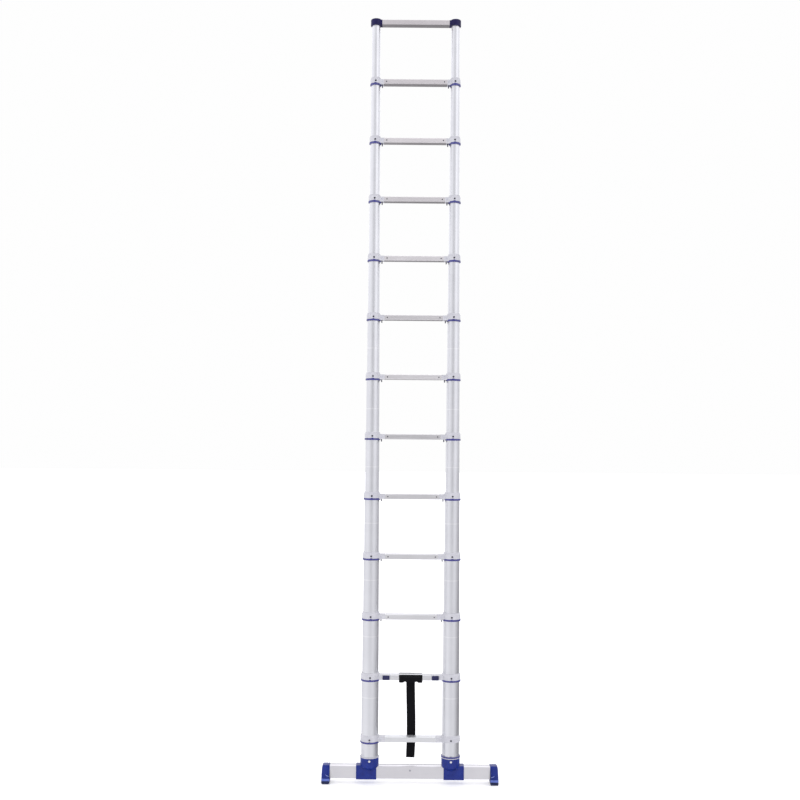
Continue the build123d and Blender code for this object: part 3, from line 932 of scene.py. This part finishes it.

# %% [markdown]
# ### Bridge the outlines
# The first outlines make the socket, the next ones the sleeve with a shallow groove, and the last ones the
# rounded, recessed end. Each station is a share of the cap's length and an inset in millimetres. Below the
# waist the cap rolls out over the sole, and that roll is coloured paler as painted light falling on it.

# %% Make the end caps
STATIONS = [
    (0.0, 0.8), (0.02, 0.0), (0.16, 0.0), (0.19, 1.1), (0.25, 1.1), (0.28, 0.0), (0.80, 0.0),
    (0.90, 0.9), (0.97, 3.0), (1.0, 6.0), (1.0, 9.5), (0.94, 11.0),
]
mesh = bmesh.new()
for side in SIDES:
    loops = [
        close_loop(mesh, [(side * x, y, z) for y, z in socket_outline()])
        for x in (bar_high.x + 0.2 * MM, cap_inner_x)
    ]
    for along, inset in STATIONS:
        outline = cap_outline(inset * MM)
        loops.append(close_loop(
            mesh, [(side * (cap_inner_x + along * (outer_x(z) - cap_inner_x)), y, z) for y, z in outline]
        ))
    skin_loops(mesh, loops)
end_caps = add_piece(mesh, "bar_end_caps", "base", blue_plastic)
# The roll below the waist takes the paler blue, which is painted light.
end_caps.data.materials.append(lit_roll_blue)
for face in end_caps.data.polygons:
    if face.center.z < WAIST_Z - 4 * MM and abs(face.center.y) > bar_high.y + CAP_SKIN - 1 * MM:
        face.material_index = 1
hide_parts("end_caps")
print("End caps' faces:", len(end_caps.data.polygons))

# %% [markdown]
# ### Ribs on the flanks
# A thin curved rib stiffens each flank above the waist. Its raised edge is coloured paler than the rest, as a
# painted highlight.

# %% Make the end caps' ribs
RIB_POINTS = 12
mesh = bmesh.new()
for side in SIDES:
    for face_side in SIDES:
        loops = []
        for i in range(RIB_POINTS + 1):
            along = i / RIB_POINTS
            x = cap_inner_x + (2 + 19 * along) * MM
            z = WAIST_Z + (5 + 8 * along * along) * MM
            thick = 1.7 * MM * max(0.25, sin(pi * along)) ** 0.5
            y = face_side * (bar_high.y + CAP_SKIN)
            ring = [(side * x, y + thick * cos(a * pi / 4), z + thick * sin(a * pi / 4)) for a in range(8)]
            loops.append(close_loop(mesh, ring))
        skin_loops(mesh, loops)
ribs = add_piece(mesh, "end_cap_ribs", "base", rib_highlight_blue)
print("Ribs' faces:", len(ribs.data.polygons))

# %% [markdown]
# ## Ribbed soles
# The soles are softer and darker than the caps. Each has rounded edges, and ribs across its underside that
# squeeze water away and grip the floor. A sole's layers are pairs of height and inset, in millimetres.

# %% Make the soles
pad_high = Vector(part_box("foot_pads")[1])
SOLE_LAYERS = [
    (3.0, 2.4), (4.2, 0.8), (6.0, 0.0), (10.6, 0.0), (11.4, 0.9), (12.2, 0.0), (13.6, 0.3), (14.2, 2.0),
]
RIB_HEIGHT = 3.5 * MM
RIB_WIDTH = 4.6 * MM
RIB_COUNT = 9
mesh = bmesh.new()
for side in SIDES:
    loops = []
    for z, inset in SOLE_LAYERS:
        near, far, half = cap_inner_x + inset * MM, pad_high.x - inset * MM, pad_high.y - inset * MM
        corners = [(near, -half), (far, -half), (far, half), (near, half)]
        outline = rounded(corners, 6 * MM, closed=True, steps=6)
        loops.append(close_loop(mesh, [(side * x, y, z * MM) for x, y in outline]))
    skin_loops(mesh, loops)
    for rib in range(RIB_COUNT):
        y = pad_high.y * (2 * (rib + 0.5) / RIB_COUNT - 1) * 0.93
        place_rib = Matrix.Translation((side * (cap_inner_x + pad_high.x) / 2, y, RIB_HEIGHT / 2))
        size = Matrix.Diagonal((pad_high.x - cap_inner_x - 6 * MM, RIB_WIDTH, RIB_HEIGHT, 1))
        cube = bmesh.ops.create_cube(mesh, size=1, matrix=place_rib @ size)
        edges = {edge for corner in cube["verts"] for edge in corner.link_edges}
        bmesh.ops.bevel(
            mesh, geom=list(edges), offset=0.8 * MM, segments=2, profile=0.5, affect="EDGES", material=-1
        )
soles = add_piece(mesh, "foot_soles", "base", sole_rubber)
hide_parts("foot_pads")
print("Soles' faces:", len(soles.data.polygons))

# %% [markdown]
# ## Bushes in the brackets
# A pale bush lines each socket, so that the rail can't rattle. Its turned lip shows as a light line where the
# rail enters the bracket. On the right, the loose ring has come to rest on it.

# %% Make the bushes
socket_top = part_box("bracket_left")[1][2]
BUSH_LIP = [
    (rail_radius[1] + 0.1 * MM, -1.0 * MM), (rail_radius[1] + 5.6 * MM, -1.0 * MM),
    (rail_radius[1] + 6.1 * MM, 0.2 * MM), (rail_radius[1] + 6.1 * MM, 1.6 * MM),
    (rail_radius[1] + 5.4 * MM, 2.6 * MM), (rail_radius[1] + 0.1 * MM, 3.2 * MM),
]
mesh = bmesh.new()
for side in SIDES:
    place_turned(mesh, BUSH_LIP, Matrix.Translation((side * rail_x, 0, socket_top)), steps=64)
bushes = add_piece(mesh, "socket_bushes", "base", arm_plastic)
print("Bushes' faces:", len(bushes.data.polygons))

# %% [markdown]
# ## Springs behind the release buttons
# Inside the rung's end a short coil spring pushes each lock pin back into its tube. A spring is wire that
# follows a helix, so small rings of points are set along that path and bridged. A real spring closes up when
# its button is pushed.

# %% Make the springs
WIRE_RADIUS = 0.5 * MM
SPRING_TURNS = 2
SPRING_WALL_X = 103 * MM
SPRING_POINTS = 48
spring_far_x = half_size("latch_springs").x
coil_radius = half_size("latch_springs").y - WIRE_RADIUS
along_x = Vector((1, 0, 0))
turns = [(cos(a * pi / 4), sin(a * pi / 4)) for a in range(8)]
for name, side in (("left", -1), ("right", 1)):
    mesh = bmesh.new()
    loops = []
    for i in range(SPRING_POINTS + 1):
        along = i / SPRING_POINTS
        angle = 2 * pi * SPRING_TURNS * along
        outward = Vector((0, cos(angle), sin(angle)))
        reach = SPRING_WALL_X + WIRE_RADIUS + along * (spring_far_x - SPRING_WALL_X - 2 * WIRE_RADIUS)
        centre = Vector((side * reach, 0, button_rung_z)) + coil_radius * outward
        loops.append(close_loop(mesh, [centre + WIRE_RADIUS * (c * outward + s * along_x) for c, s in turns]))
    skin_loops(mesh, loops)
    spring = add_piece(mesh, f"latch_spring_{name}", "base", plated_steel)
    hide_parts("latch_springs")
    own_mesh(spring)
print("Spring length at rest:", round((spring_far_x - SPRING_WALL_X) / MM, 1), "mm")

# %% [markdown]
# ## Rivets on the bar
# Three small rivets show along the top of the bar near its rear edge, and a plug closes a hole in its front.

# %% Place the bar's rivets
BAR_RIVET_X = 325 * MM
mesh = bmesh.new()
for x in (-BAR_RIVET_X, 0, BAR_RIVET_X):
    place_turned(mesh, RIVET_HEAD, Matrix.Translation((x, 12 * MM, bar_high.z)))
place_turned(mesh, ARM_PLUG, facing_front(0, bar_low.y, bar_high.z - 20 * MM))
bar_rivets = add_piece(mesh, "bar_rivets", "base", plated_steel)
print("Bar rivets' faces:", len(bar_rivets.data.polygons))
